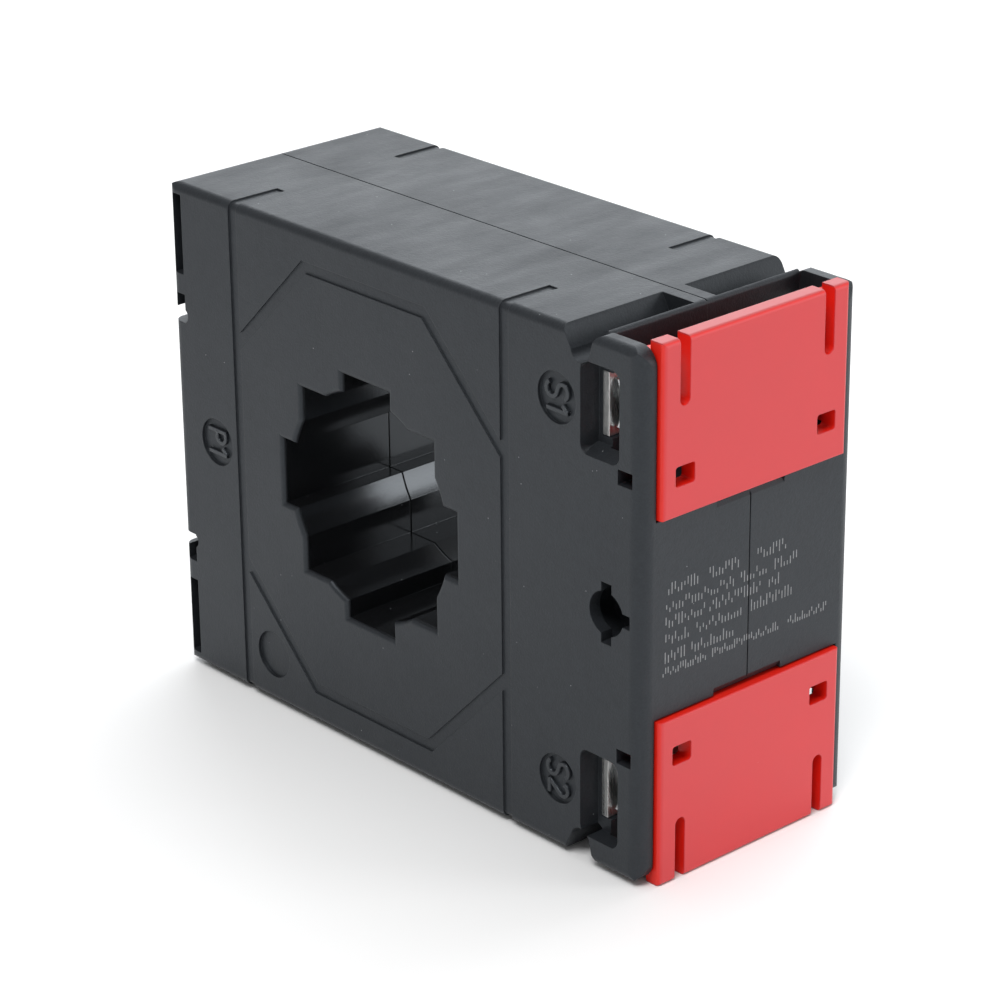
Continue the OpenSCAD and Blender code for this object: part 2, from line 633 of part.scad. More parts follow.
// Combined slot and cross pan head screw
module screw() translate([head_base, screw_inset, screw_za]) rotate([0, 90, 0]) difference() {
    union() {
        rotate_extrude() {
            translate([0, 0]) square([head_radius, head_height - 0.9]);
            intersection() {
                translate([head_radius - 0.9, head_height - 0.9]) circle(0.9);
                square([head_radius + 1, head_height + 1]);
            }
            square([head_radius - 0.9, head_height]);
        }
        translate([0, 0, -screw_length + 0.6]) cylinder(r = screw_radius, h = screw_length);
        translate([0, 0, -screw_length]) cylinder(r1 = screw_radius - 0.6, r2 = screw_radius, h = 0.6);
    }
    translate([-0.5, -head_radius - e, head_height - 1.3]) cube([1, 2 * head_radius + 2 * e, 2]);
    translate([-2.2, -0.5, head_height - 1.6]) cube([4.4, 1, 2]);
    translate([-0.5, -2.2, head_height - 1.6]) cube([1, 4.4, 2]);
}
module screw_s1_front() color([0.82, 0.82, 0.8]) screw();
module screw_s1_rear() color([0.82, 0.82, 0.8]) rear_side() screw();
module screw_s2_front() color([0.82, 0.82, 0.8]) low_side() screw();
module screw_s2_rear() color([0.82, 0.82, 0.8]) rear_side() low_side() screw();

// Hinged terminal cover
module cover() {
    y1 = case_depth - cover_y;
    difference() {
        intersection() {
            along_y(cover_y, y1) rounded([cover_under, cover_inner_z], [overall_length, cover_end], [0, 0.3, cover_round, 0]);
            along_z(cover_inner_z - e, cover_end + e) rounded([cover_under, cover_y], [overall_length, y1], [0, cover_round, cover_round, 0]);
        }
        for (s = [-1, 1]) {
            // slot beside the finger
            translate([cover_under - e, mid_y + s * finger_offset - finger_slot / 2, cover_end - finger_length + finger_slot / 2])
                cube([cover_thickness + 2 * e, finger_slot, finger_length]);
            translate([cover_under - e, mid_y + s * finger_offset, cover_end - finger_length + finger_slot / 2]) rotate([0, 90, 0])
                cylinder(d = finger_slot, h = cover_thickness + 2 * e);
            // sealing hole
            along_x(cover_under - e, overall_length + e) rounded(
                [mid_y + s * seal_offset - seal_width / 2, cover_inner_z + seal_inset - seal_length / 2],
                [mid_y + s * seal_offset + seal_width / 2, cover_inner_z + seal_inset + seal_length / 2], [0.5, 0.5, 0.5, 0.5]);
        }
    }
    cover_side();
    rear_side() cover_side();
}
// Knuckle, pin and snap leg at one side of the cover
module cover_side() {
    k = 1.9;
    translate([hinge_x, cover_y, hinge_z]) rotate([-90, 0, 0]) cylinder(r = k, h = 1.9);
    translate([hinge_x, cover_y, hinge_z - k]) cube([hinge_drop + 0.2, 1.9, 2 * k]);
    translate([hinge_x, cover_y + 0.5, hinge_z]) rotate([90, 0, 0]) cylinder(r = pin_radius, h = pin_length + 0.5);
    translate([cover_under - 0.3 - latch_width + 0.1, cover_y - 0.1, latch_z - 1.8]) cube([latch_width + 0.8, 1.4, 3.6]);
}
module cover_s1() color([0.85, 0.15, 0.13]) cover();
module cover_s2() color([0.85, 0.15, 0.13]) low_side() cover();

translate([-overall_length / 2, -case_depth / 2, cover_over]) {
    front_shell();
    rear_shell();
    magnetic_core();
    core_tape();
    secondary_winding();
    outer_tape();
    cushion_front();
    cushion_rear();
    lead_s1();
    lead_s2();
    terminal_plate_s1();
    terminal_plate_s2();
    nut_s1_front();
    nut_s1_rear();
    nut_s2_front();
    nut_s2_rear();
    clamp_s1_front();
    clamp_s1_rear();
    clamp_s2_front();
    clamp_s2_rear();
    screw_s1_front();
    screw_s1_rear();
    screw_s2_front();
    screw_s2_rear();
    cover_s1();
    cover_s2();
}
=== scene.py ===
"""Looks of a window type current transformer with a moulded case and hinged terminal covers."""

import math

import bpy
import numpy as np
from bpy.props import FloatProperty, FloatVectorProperty, IntProperty, PointerProperty
from mathutils import Matrix, Vector


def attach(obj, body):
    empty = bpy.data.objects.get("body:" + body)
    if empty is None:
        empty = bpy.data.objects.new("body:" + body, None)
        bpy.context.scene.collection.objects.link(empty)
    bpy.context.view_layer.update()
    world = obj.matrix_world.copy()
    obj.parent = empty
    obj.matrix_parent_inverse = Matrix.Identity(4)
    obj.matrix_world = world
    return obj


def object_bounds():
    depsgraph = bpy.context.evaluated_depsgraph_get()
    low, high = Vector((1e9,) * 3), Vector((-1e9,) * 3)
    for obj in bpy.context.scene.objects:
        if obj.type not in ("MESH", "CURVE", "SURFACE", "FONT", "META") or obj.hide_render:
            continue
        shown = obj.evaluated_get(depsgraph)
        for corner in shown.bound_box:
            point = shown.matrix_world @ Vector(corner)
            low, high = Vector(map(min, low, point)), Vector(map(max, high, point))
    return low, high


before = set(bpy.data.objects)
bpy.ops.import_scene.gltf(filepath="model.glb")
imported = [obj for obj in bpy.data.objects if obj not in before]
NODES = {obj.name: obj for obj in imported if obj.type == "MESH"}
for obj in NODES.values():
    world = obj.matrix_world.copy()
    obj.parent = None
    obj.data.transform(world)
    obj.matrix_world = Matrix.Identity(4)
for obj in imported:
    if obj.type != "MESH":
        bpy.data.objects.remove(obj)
CAD_BOX = [[float(c) for c in p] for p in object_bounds()]
MM = 0.001

# the covers reach equally past both sides of the case, so the box and the case share one middle
FOOT_X, COVER_X = CAD_BOX[0][0], CAD_BOX[1][0]
FACE_Y = CAD_BOX[1][1]
MID_Z = CAD_BOX[1][2] / 2

# places on the case, along X from its foot end
WINDOW_X = 49.15 * MM  # axis of the busbar window
PAD_P_X = 10.7 * MM  # pads of P1 and P2
PAD_S_X = 93.2 * MM  # pads of S1 and S2
# and its other sizes
CASE_WIDTH = 86.0 * MM
PAD_S_SIDE = 11.7 * MM  # from a long side to the middle of its S pad
PAD_DEPTH = 0.55 * MM
COVER_PROUD = 1.1 * MM  # from the terminal face to the outer face of the covers

# where each finish, painted sheen and painted shade starts and where it is full
POLISH_RADIUS = (24.0 * MM, 25.0 * MM)  # the polish of the window and its painted shade end between these, from its axis
POLISH_INSET = (0.9 * MM, 0.5 * MM)  # and between these depths under the two faces
WIPE_INSET = (0.5 * MM, 0.2 * MM)  # wipe marks start between these depths under the long sides
PAINTED_LIGHT_INSET = (0.30 * MM, 0.05 * MM)  # and the covers' painted sheen and painted shade between these under their outer planes

# plastics
PLASTIC_IOR = 1.5
POLISHED_ROUGHNESS = 0.15
POLISHED_GRAIN = 0.12  # share of the grain that is left on the polished wall
COOL_GLOSS = (0.85, 0.925, 1.0, 1.0)
# painted highlight: a lighter colour that the case takes along its rounded edges
PAINTED_EDGE_HIGHLIGHT = (0.05, 0.052, 0.056, 1.0)
CASE_DUST = (0.42, 0.43, 0.44, 1.0)
COVER_DUST = (0.95, 0.75, 0.72, 1.0)
COVER_GRAIN = 0.006 * MM
FOAM_WALL, FOAM_CELL = (0.09, 0.09, 0.095, 1.0), (0.03, 0.03, 0.032, 1.0)

# terminal metal: start of the node names, material, its colour in the settings, roughness, scale of the
# drawn streaks, depth of the crinkle
PLATING = (
    ("terminal_plate", "tinned_plate", "tin", 0.30, 2200.0, 0.04 * MM),
    ("clamp", "zinc_washer", "zinc", 0.26, 1600.0, 0.12 * MM),
    ("screw", "zinc_screw", "zinc", 0.26, 1800.0, 0.01 * MM),
    ("nut", "passivated_nut", "passivated", 0.30, 1500.0, 0.01 * MM),
)

# wound and layered stock: node, material, colour, colour between the layers, scale of the layers, the
# axis that they lie across or RINGS about the window axis, roughness, metallic
STOCK = (
    ("magnetic_core", "wound_strip", (0.42, 0.43, 0.45), (0.18, 0.18, 0.19), 900.0, "RINGS", 0.35, 1.0),
    ("core_tape", "press_tape", (0.70, 0.60, 0.40), (0.50, 0.41, 0.26), 180.0, "Y", 0.7, 0.0),
    ("secondary_winding", "enamelled_wire", (0.70, 0.30, 0.11), (0.24, 0.08, 0.03), 700.0, "Z", 0.25, 0.6),
    ("outer_tape", "polyester_tape", (0.80, 0.60, 0.14), (0.62, 0.43, 0.08), 60.0, "X", 0.35, 0.0),
    ("lead_s1", "lead_red", (0.62, 0.03, 0.02), (0.45, 0.02, 0.015), 120.0, "X", 0.3, 0.0),
    ("lead_s2", "lead_blue", (0.03, 0.08, 0.42), (0.02, 0.05, 0.28), 120.0, "X", 0.3, 0.0),
)

# moulded marks: widths and gap in letter heights, and the stroke's section in half widths and heights
LETTER_WIDTH = {"S": 0.60, "P": 0.56, "1": 0.30, "2": 0.52}
LETTER_GAP = 0.16
STROKE_SECTION = np.array([(-1.12, 0.0), (-1.0, 0.75), (-0.82, 1.0), (0.82, 1.0), (1.0, 0.75), (1.12, 0.0)])
LINE_STEPS = 6
MARK_ROOT = 0.05 * MM  # a stroke starts this far under the floor of its pad
MARK_SINK = 0.02 * MM  # and its top stays this far under the face
MARK_STEP = 0.025 * MM  # every other stroke is lower, so no two tops share a plane where they cross

# print rows: each is (foot, height, groups) in mm from the middle of the case and from the P1 face
PRINT_ROWS = (
    (3.7, 1.85, ((5.6, 12.2), (14.2, 20.4), (24.4, 30.6))),
    (0.9, 1.85, ((5.2, 19.6), (20.9, 26.8), (28.2, 33.4))),
    (-1.65, 1.85, ((5.1, 13.6), (14.3, 25.6), (27.0, 29.4))),
    (-4.4, 1.85, ((5.1, 9.8), (11.6, 21.4), (23.2, 32.0))),
    (-7.3, 1.85, ((5.0, 9.6), (10.6, 19.6))),
    (-9.4, 1.45, ((4.6, 13.8), (15.0, 29.6), (31.4, 39.9))),
)
PRINT_SEED = 11
# a tick's spacing, its foot, and its head above its foot, in row heights
TICK_PITCH = 0.36
TICK_FOOT = (0.0, 0.0, 0.0, 0.32, 0.5)
TICK_HEAD = (0.38, 0.5, 0.68, 1.0)
INK_THICK = 0.03 * MM
# corners of a box by the bits of their number, x y z, in an order that points each face outwards
BOX_FACES = np.array([(0, 1, 3, 2), (4, 6, 7, 5), (0, 4, 5, 1), (2, 3, 7, 6), (0, 2, 6, 4), (1, 5, 7, 3)])

# studio: a disc for the floor, in metres, that curves up past DISH_START
FLOOR_SIDES, FLOOR_RINGS = 96, 12
FLOOR_RADII = (0.3, 6.0)
DISH_START, DISH_RISE = 4.0, 0.4
FLOOR_DROP = 0.02 * MM  # keeps the floor clear of the object's underside
FLOOR_SHADE = 0.985  # tone of its darker clouds
# soft lights: name, place, width and height, watts, colour; all aim at LIGHT_AIM
LIGHT_AIM = (0.0, 0.0, 0.04)
WHITE = (1.0, 1.0, 1.0)
LIGHTS = (
    ("rear_wall", (-0.45, 0.85, 0.50), (1.6, 0.7), 9.8, (0.93, 0.965, 1.0)),
    ("rear_right", (0.75, 0.63, 0.30), (0.35, 0.30), 2.0, WHITE),
    ("overhead_rear", (-0.06, 0.20, 1.15), (0.7, 0.7), 4.0, WHITE),
    ("overhead_front", (0.28, -0.46, 0.96), (0.42, 0.42), 6.5, WHITE),
)
SENSOR_MM = 36.0
CLIP_START = 0.01

bl_info = {
    "name": "Current Transformer Looks",
    "version": (1, 0, 0),
    "blender": (4, 5, 0),
    "location": "3D View > Sidebar > Transformer",
    "description": "Finishes, moulded marks, print rows and studio for a current transformer",
    "category": "Object",
}


# ---------------------------------------------------------------- settings


class CaseSettings(bpy.types.PropertyGroup):
    """Colours and surface of the moulded case."""

    plastic: FloatVectorProperty(
        name="Case plastic", description="Base colour of the charcoal case", subtype="COLOR",
        size=4, min=0.0, max=1.0, default=(0.0128, 0.0144, 0.0170, 1.0))
    # painted shade: a darker colour inside the busbar window, whose real polish is set by the roughness
    polished: FloatVectorProperty(
        name="Window plastic", description="Base colour where the mould is polished", subtype="COLOR",
        size=4, min=0.0, max=1.0, default=(0.0060, 0.0062, 0.0068, 1.0))
    grain_depth: FloatProperty(
        name="Grain depth", description="Depth of the spark eroded mould grain", subtype="DISTANCE",
        default=0.075 * MM, min=0.0, max=0.2 * MM, precision=6)
    edge_radius: FloatProperty(
        name="Edge radius", description="Rounding seen along the moulded edges", subtype="DISTANCE",
        default=0.16 * MM, min=0.0, max=1.0 * MM, precision=6)


class CoverSettings(bpy.types.PropertyGroup):
    """Colours of the terminal covers."""

    plastic: FloatVectorProperty(
        name="Cover plastic", description="Base colour of the red covers, seen in slots and windows",
        subtype="COLOR", size=4, min=0.0, max=1.0, default=(0.74, 0.012, 0.004, 1.0))
    # painted sheen: a paler colour on the outer face of the covers
    skin: FloatVectorProperty(
        name="Cover skin", description="Colour of the outer face of the covers", subtype="COLOR",
        size=4, min=0.0, max=1.0, default=(0.66, 0.040, 0.046, 1.0))
    # painted shade with painted sheen: a darker red with paler green and blue on the outer ends of the covers
    end_painted_shade_sheen: FloatVectorProperty(
        name="Cover end", description="Colour of the outer ends of the covers", subtype="COLOR",
        size=4, min=0.0, max=1.0, default=(0.44, 0.036, 0.040, 1.0))


class MetalSettings(bpy.types.PropertyGroup):
    """Colours of the terminal metal."""

    zinc: FloatVectorProperty(
        name="Zinc", description="Colour of the zinc plated washers and screws", subtype="COLOR",
        size=4, min=0.0, max=1.0, default=(0.78, 0.80, 0.82, 1.0))
    tin: FloatVectorProperty(
        name="Tin", description="Colour of the tinned terminal plates", subtype="COLOR",
        size=4, min=0.0, max=1.0, default=(0.82, 0.82, 0.80, 1.0))
    passivated: FloatVectorProperty(
        name="Passivated zinc", description="Colour of the yellow passivated nuts", subtype="COLOR",
        size=4, min=0.0, max=1.0, default=(0.72, 0.66, 0.42, 1.0))


class MarkSettings(bpy.types.PropertyGroup):
    """Sizes of the moulded terminal marks and the print rows."""

    cap: FloatProperty(
        name="Letter height", description="Height of the moulded letters", subtype="DISTANCE",
        default=4.6 * MM, min=2.0 * MM, max=6.0 * MM, precision=5)
    stroke: FloatProperty(
        name="Stroke width", description="Width of the moulded strokes", subtype="DISTANCE",
        default=0.72 * MM, min=0.2 * MM, max=1.5 * MM, precision=5)
    tick: FloatProperty(
        name="Tick width", description="Width of the fine ticks of the print rows", subtype="DISTANCE",
        default=0.19 * MM, min=0.05 * MM, max=0.6 * MM, precision=5)
    ink: FloatVectorProperty(
        name="Ink", description="Colour of the grey print rows", subtype="COLOR",
        size=4, min=0.0, max=1.0, default=(0.27, 0.275, 0.285, 1.0))


class StudioSettings(bpy.types.PropertyGroup):
    """Camera, surroundings and floor."""

    azimuth: FloatProperty(
        name="Azimuth", description="Camera turn round the object", subtype="ANGLE",
        default=math.radians(48.041))
    elevation: FloatProperty(
        name="Elevation", description="Camera height angle", subtype="ANGLE", default=math.radians(22.979))
    roll: FloatProperty(
        name="Roll", description="Camera roll", subtype="ANGLE", default=math.radians(-0.549))
    distance: FloatProperty(
        name="Distance", description="Distance from camera to the aim point", subtype="DISTANCE", default=0.6)
    aim: FloatVectorProperty(
        name="Aim", description="Point on the optical axis", subtype="XYZ", size=3,
        default=(-0.025471, 0.022285, MID_Z - 0.017384))
    lens: FloatProperty(
        name="Lens", description="Focal length in millimetres", unit="CAMERA",
        default=125.757, min=10.0, max=400.0)
    ambient: FloatProperty(
        name="Ambient", description="Strength of the white surroundings", default=0.35, min=0.0, max=2.0)
    floor: FloatVectorProperty(
        name="Floor", description="Colour of the pale floor", subtype="COLOR",
        size=4, min=0.0, max=1.0, default=(0.93, 0.93, 0.93, 1.0))
    samples: IntProperty(
        name="Edge samples", description="Samples of the rounded edge shading", default=6, min=2, max=16)


# ---------------------------------------------------------------- node helpers


FLOAT, VECTOR = "NodeSocketFloat", "NodeSocketVector"
# the Mix node's sockets for each kind of data: factor, A and B, then its result
MIX_SOCKETS = {"FLOAT": ((0, 2, 3), 0), "RGBA": ((0, 6, 7), 2)}


def feed(tree, item, socket):
    """Link an output socket to an input, or set a number or colour on the input."""
    if isinstance(item, bpy.types.NodeSocket):
        tree.links.new(item, socket)
    else:
        socket.default_value = item


def math_node(tree, operation, *items):
    """One Math node on sockets or numbers. Returns its output."""
    node = tree.nodes.new("ShaderNodeMath")
    node.operation = operation
    for item, socket in zip(items, node.inputs):
        feed(tree, item, socket)
    return node.outputs[0]


def scaled(tree, value, factor):
    """A value times a factor."""
    return math_node(tree, "MULTIPLY", value, factor)


def weighed(tree, a, b, share):
    """Two values as one: a times its share plus b times the rest."""
    return math_node(tree, "ADD", scaled(tree, a, share), scaled(tree, b, 1.0 - share))


def distance(tree, value, centre):
    """How far a value is from a centre, whichever side it is on."""
    return math_node(tree, "ABSOLUTE", math_node(tree, "SUBTRACT", value, centre))


def remap(tree, value, source, target=(0.0, 1.0)):
    """Map a value from the range source to the range target, clamped."""
    node = tree.nodes.new("ShaderNodeMapRange")
    labels = ("Value", "From Min", "From Max", "To Min", "To Max")
    for label, item in zip(labels, (value, *source, *target)):
        feed(tree, item, node.inputs[label])
    return node.outputs["Result"]


def mix(tree, factor, a, b, kind="RGBA"):
    """Mix a and b, each a socket or a value, by a factor."""
    node = tree.nodes.new("ShaderNodeMix")
    node.data_type = kind
    places, result = MIX_SOCKETS[kind]
    for key, item in zip(places, (factor, a, b)):
        feed(tree, item, node.inputs[key])
    return node.outputs[result]


def shade(tree, colour, value):
    """Make a colour lighter or darker by a value socket."""
    node = tree.nodes.new("ShaderNodeHueSaturation")
    feed(tree, colour, node.inputs["Color"])
    tree.links.new(value, node.inputs["Value"])
    return node.outputs["Color"]


def noise(tree, vector, scale, detail=2.0, rough=0.5):
    """Noise at a vector; scale is a number or a socket."""
    node = tree.nodes.new("ShaderNodeTexNoise")
    for label, item in (("Vector", vector), ("Scale", scale), ("Detail", detail), ("Roughness", rough)):
        feed(tree, item, node.inputs[label])
    return node.outputs["Fac"]


def mapped(tree, vector, **values):
    """A vector through a Mapping node with its own Location, Rotation or Scale."""
    node = tree.nodes.new("ShaderNodeMapping")
    tree.links.new(vector, node.inputs["Vector"])
    for label, value in values.items():
        node.inputs[label].default_value = value
    return node.outputs["Vector"]


def bump(tree, height, depth, normal=None):
    """Bump node on a height socket, over another normal if one is given. Returns its normal."""
    node = tree.nodes.new("ShaderNodeBump")
    node.inputs["Strength"].default_value = 1.0
    node.inputs["Distance"].default_value = depth
    tree.links.new(height, node.inputs["Height"])
    if normal is not None:
        tree.links.new(normal, node.inputs["Normal"])
    return node.outputs["Normal"]


def coordinates(tree):
    """Object coordinates of a material, from one node that all its patterns share."""
    node = tree.nodes.get("Coordinates")
    if node is None:
        node = tree.nodes.new("ShaderNodeTexCoord")
        node.name = "Coordinates"
    return node.outputs["Object"]


def split(tree):
    """The X, Y and Z of a material's Object coordinates."""
    node = tree.nodes.new("ShaderNodeSeparateXYZ")
    tree.links.new(coordinates(tree), node.inputs[0])
    return node.outputs[0], node.outputs[1], node.outputs[2]


# ---------------------------------------------------------------- shared groups


def new_group(name, inputs, outputs):
    """Empty shader group with (label, kind, default) inputs and (label, kind) outputs.

    Returns the group, the sockets that its inputs arrive at and the sockets that its outputs leave by.
    """
    group = bpy.data.node_groups.new(name, "ShaderNodeTree")
    for label, kind, value in inputs:
        socket = group.interface.new_socket(label, in_out="INPUT", socket_type=kind)
        if value is not None:
            socket.default_value = value
    for label, kind in outputs:
        group.interface.new_socket(label, in_out="OUTPUT", socket_type=kind)
    return group, group.nodes.new("NodeGroupInput").outputs, group.nodes.new("NodeGroupOutput").inputs


def pattern_inputs(scale, **more):
    """Inputs of a group that lays a pattern in space: a vector, a scale and any further numbers."""
    return [("Vector", VECTOR, None), ("Scale", FLOAT, scale)] + [(k, FLOAT, v) for k, v in more.items()]


def spark_group(name):
    """Spark eroded mould skin: fine noise on coarser noise, as a height and as a value from 0 to 1."""
    group, given, result = new_group(name, pattern_inputs(4200.0), [("Height", FLOAT), ("Value", FLOAT)])
    fine = noise(group, given["Vector"], given["Scale"], detail=3.0, rough=0.6)
    coarse = noise(group, given["Vector"], scaled(group, given["Scale"], 0.27))
    both = weighed(group, fine, coarse, share=0.65)
    group.links.new(both, result["Height"])
    group.links.new(remap(group, both, (0.35, 0.65)), result["Value"])
    return group


def mottle_group(name):
    """Broad cloudy change of a moulded face: two sizes of noise, from 0 to 1."""
    group, given, result = new_group(name, pattern_inputs(40.0), [("Value", FLOAT)])
    broad = noise(group, given["Vector"], given["Scale"], detail=4.0, rough=0.55)
    small = noise(group, given["Vector"], scaled(group, given["Scale"], 4.3), detail=3.0, rough=0.6)
    group.links.new(remap(group, weighed(group, broad, small, share=0.7), (0.3, 0.7)), result["Value"])
    return group


def wipe_group(name):
    """Faint wipe marks: noise drawn out along Y, broken up by a broad cloud, from 0 to 1."""
    group, given, result = new_group(name, pattern_inputs(150.0), [("Value", FLOAT)])
    drawn = mapped(group, given["Vector"], Rotation=(0.0, 0.0, math.radians(5.0)), Scale=(1.0, 0.24, 1.0))
    streak = noise(group, drawn, given["Scale"], detail=5.0, rough=0.62)
    cloud = noise(group, given["Vector"], scaled(group, given["Scale"], 0.16), detail=3.0, rough=0.55)
    group.links.new(remap(group, weighed(group, streak, cloud, share=0.5), (0.40, 0.62)), result["Value"])
    return group


def dust_group(name):
    """Scattered dust: cells whose random number is under Share get a soft dot of Size at their centre."""
    group, given, result = new_group(name, pattern_inputs(260.0, Size=0.07, Share=0.04), [("Mask", FLOAT)])
    cells = group.nodes.new("ShaderNodeTexVoronoi")
    cells.feature = "F1"
    group.links.new(given["Vector"], cells.inputs["Vector"])
    group.links.new(given["Scale"], cells.inputs["Scale"])
    lot = group.nodes.new("ShaderNodeTexWhiteNoise")
    lot.noise_dimensions = "3D"
    group.links.new(cells.outputs["Color"], lot.inputs["Vector"])
    keep = math_node(group, "LESS_THAN", lot.outputs["Value"], given["Share"])
    core = scaled(group, given["Size"], 0.4)
    dot = remap(group, cells.outputs["Distance"], (core, given["Size"]), (1.0, 0.0))
    group.links.new(scaled(group, keep, dot), result["Mask"])
    return group


def edge_group(name):
    """Rounded edge: the normal averaged within a radius, and a mask of how far it leans from the face."""
    scene = bpy.context.scene
    group, _, result = new_group(name, [], [("Normal", VECTOR), ("Mask", FLOAT)])
    bevel = group.nodes.new("ShaderNodeBevel")
    bevel.samples = scene.ct_studio.samples
    bevel.inputs["Radius"].default_value = scene.ct_case.edge_radius
    flat = group.nodes.new("ShaderNodeNewGeometry")
    lean = group.nodes.new("ShaderNodeVectorMath")
    lean.operation = "DOT_PRODUCT"
    group.links.new(bevel.outputs["Normal"], lean.inputs[0])
    group.links.new(flat.outputs["Normal"], lean.inputs[1])
    group.links.new(bevel.outputs["Normal"], result["Normal"])
    group.links.new(remap(group, lean.outputs["Value"], (0.98, 0.80)), result["Mask"])
    return group


GROUP_MAKERS = {"Spark Skin": spark_group, "Flow Mottle": mottle_group, "Wipe Marks": wipe_group,
                "Dust Specks": dust_group, "Soft Edge": edge_group}


def place(tree, name, **values):
    """Put a shared group in a material, with its own values. Returns the group's outputs.

    The group is built the first time it is asked for. If it takes a vector, that is the Object coordinates.
    """
    node = tree.nodes.new("ShaderNodeGroup")
    node.node_tree = bpy.data.node_groups.get(name) or GROUP_MAKERS[name](name)
    if "Vector" in node.inputs:
        tree.links.new(coordinates(tree), node.inputs["Vector"])
    for label, value in values.items():
        node.inputs[label].default_value = value
    return node.outputs


def dusted(tree, colour, dust_colour, amount, share):
    """Lay fine dust over a colour: amount is how strongly a speck shows, share how many cells have one."""
    specks = place(tree, "Dust Specks", Scale=420.0, Size=0.05, Share=share)
    return mix(tree, scaled(tree, specks["Mask"], amount), colour, dust_colour)


# ---------------------------------------------------------------- materials


def fresh(name):
    """New material with only a Principled shader and an output. Returns material, tree and shader."""
    material = bpy.data.materials.new(name)
    material.use_nodes = True
    tree = material.node_tree
    tree.nodes.clear()
    out = tree.nodes.new("ShaderNodeOutputMaterial")
    shader = tree.nodes.new("ShaderNodeBsdfPrincipled")
    tree.links.new(shader.outputs["BSDF"], out.inputs["Surface"])
    return material, tree, shader


def finish_shader(tree, shader, inputs):
    """Feed the shader's inputs, by label, with sockets or with values that are the same all over."""
    for label, item in inputs.items():
        feed(tree, item, shader.inputs[label])


def case_plastic(name="case_charcoal", matt=(0.47, 0.54), grain=(0.78, 1.22)):
    """Charcoal case: grained outside, polished in the busbar window with a darker colour there as painted
    shade, a painted highlight along edges, a little dust.

    The polished mask is the distance from the window axis, which runs along Y, and stays off the faces. It
    sets the polish and the painted shade of the window.
    The two long sides, high and low in Z, carry wipe marks that change the roughness. matt is the range
    of roughness of the grained skin, and grain the range of its tone.
    """
    settings = bpy.context.scene.ct_case
    material, tree, shader = fresh(name)
    spark = place(tree, "Spark Skin", Scale=2700.0)
    mottle = place(tree, "Flow Mottle", Scale=38.0)
    wipe = place(tree, "Wipe Marks", Scale=240.0)
    edge = place(tree, "Soft Edge")
    x, y, z = split(tree)
    dx = distance(tree, x, FOOT_X + WINDOW_X)
    dz = distance(tree, z, MID_Z)
    squares = math_node(tree, "ADD", scaled(tree, dx, dx), scaled(tree, dz, dz))
    near = remap(tree, math_node(tree, "SQRT", squares), POLISH_RADIUS, (1.0, 0.0))
    depths = [FACE_Y - inset for inset in POLISH_INSET]
    deep = remap(tree, math_node(tree, "ABSOLUTE", y), depths, (1.0, 0.0))
    polish = scaled(tree, near, deep)

    tone = remap(tree, mottle["Value"], (0.0, 1.0), (0.90, 1.08))
    speckle = remap(tree, spark["Value"], (0.0, 1.0), grain)
    # painted shade: the colour is darker inside the busbar window
    colour = mix(tree, polish, tuple(settings.plastic), tuple(settings.polished))
    colour = shade(tree, colour, scaled(tree, tone, speckle))
    # painted highlight: the colour turns lighter where the rounded edges lean away from the face
    colour = mix(tree, scaled(tree, edge["Mask"], 0.10), colour, PAINTED_EDGE_HIGHLIGHT)
    colour = dusted(tree, colour, CASE_DUST, amount=0.65, share=0.30)

    on_side = remap(tree, dz, [CASE_WIDTH / 2 - inset for inset in WIPE_INSET])
    wiped = scaled(tree, on_side, remap(tree, wipe["Value"], (0.0, 1.0), (0.09, -0.02)))
    rough = math_node(tree, "ADD", remap(tree, mottle["Value"], (0.0, 1.0), matt), wiped)
    height = scaled(tree, spark["Height"], remap(tree, polish, (0.0, 1.0), (1.0, POLISHED_GRAIN)))
    finish_shader(tree, shader, {
        "Base Color": colour,
        "Roughness": mix(tree, polish, rough, POLISHED_ROUGHNESS, kind="FLOAT"),
        "IOR": PLASTIC_IOR,
        "Specular Tint": COOL_GLOSS,
        "Normal": bump(tree, height, settings.grain_depth, edge["Normal"]),
    })
    return material


def cover_plastic():
    """Signal red satin plastic, with painted sheen on the outer face and painted shade with painted sheen on
    the ends, unlike the plain red in slots and windows.

    The masks of the painted sheen and shade are distances inward from the outermost X and Z planes of the
    covers.
    """
    settings = bpy.context.scene.ct_cover
    material, tree, shader = fresh("cover_red")
    spark = place(tree, "Spark Skin", Scale=5200.0)
    mottle = place(tree, "Flow Mottle", Scale=60.0)
    edge = place(tree, "Soft Edge")
    x, _, z = split(tree)
    # mask of the painted sheen: the outer face of the covers
    face = remap(tree, x, [COVER_X - inset for inset in PAINTED_LIGHT_INSET])
    # mask of the painted shade and sheen: the outer ends of the covers
    end = remap(tree, distance(tree, z, MID_Z), [MID_Z - inset for inset in PAINTED_LIGHT_INSET])

    # painted sheen on the outer face
    colour = mix(tree, face, tuple(settings.plastic), tuple(settings.skin))
    # painted shade with painted sheen on the outer ends
    colour = mix(tree, end, colour, tuple(settings.end_painted_shade_sheen))
    colour = shade(tree, colour, remap(tree, mottle["Value"], (0.0, 1.0), (0.97, 1.02)))
    finish_shader(tree, shader, {
        "Base Color": dusted(tree, colour, COVER_DUST, amount=0.5, share=0.10),
        "Roughness": remap(tree, mottle["Value"], (0.0, 1.0), (0.40, 0.46)),
        "IOR": PLASTIC_IOR,
        "Normal": bump(tree, spark["Height"], COVER_GRAIN, edge["Normal"]),
    })
    return material


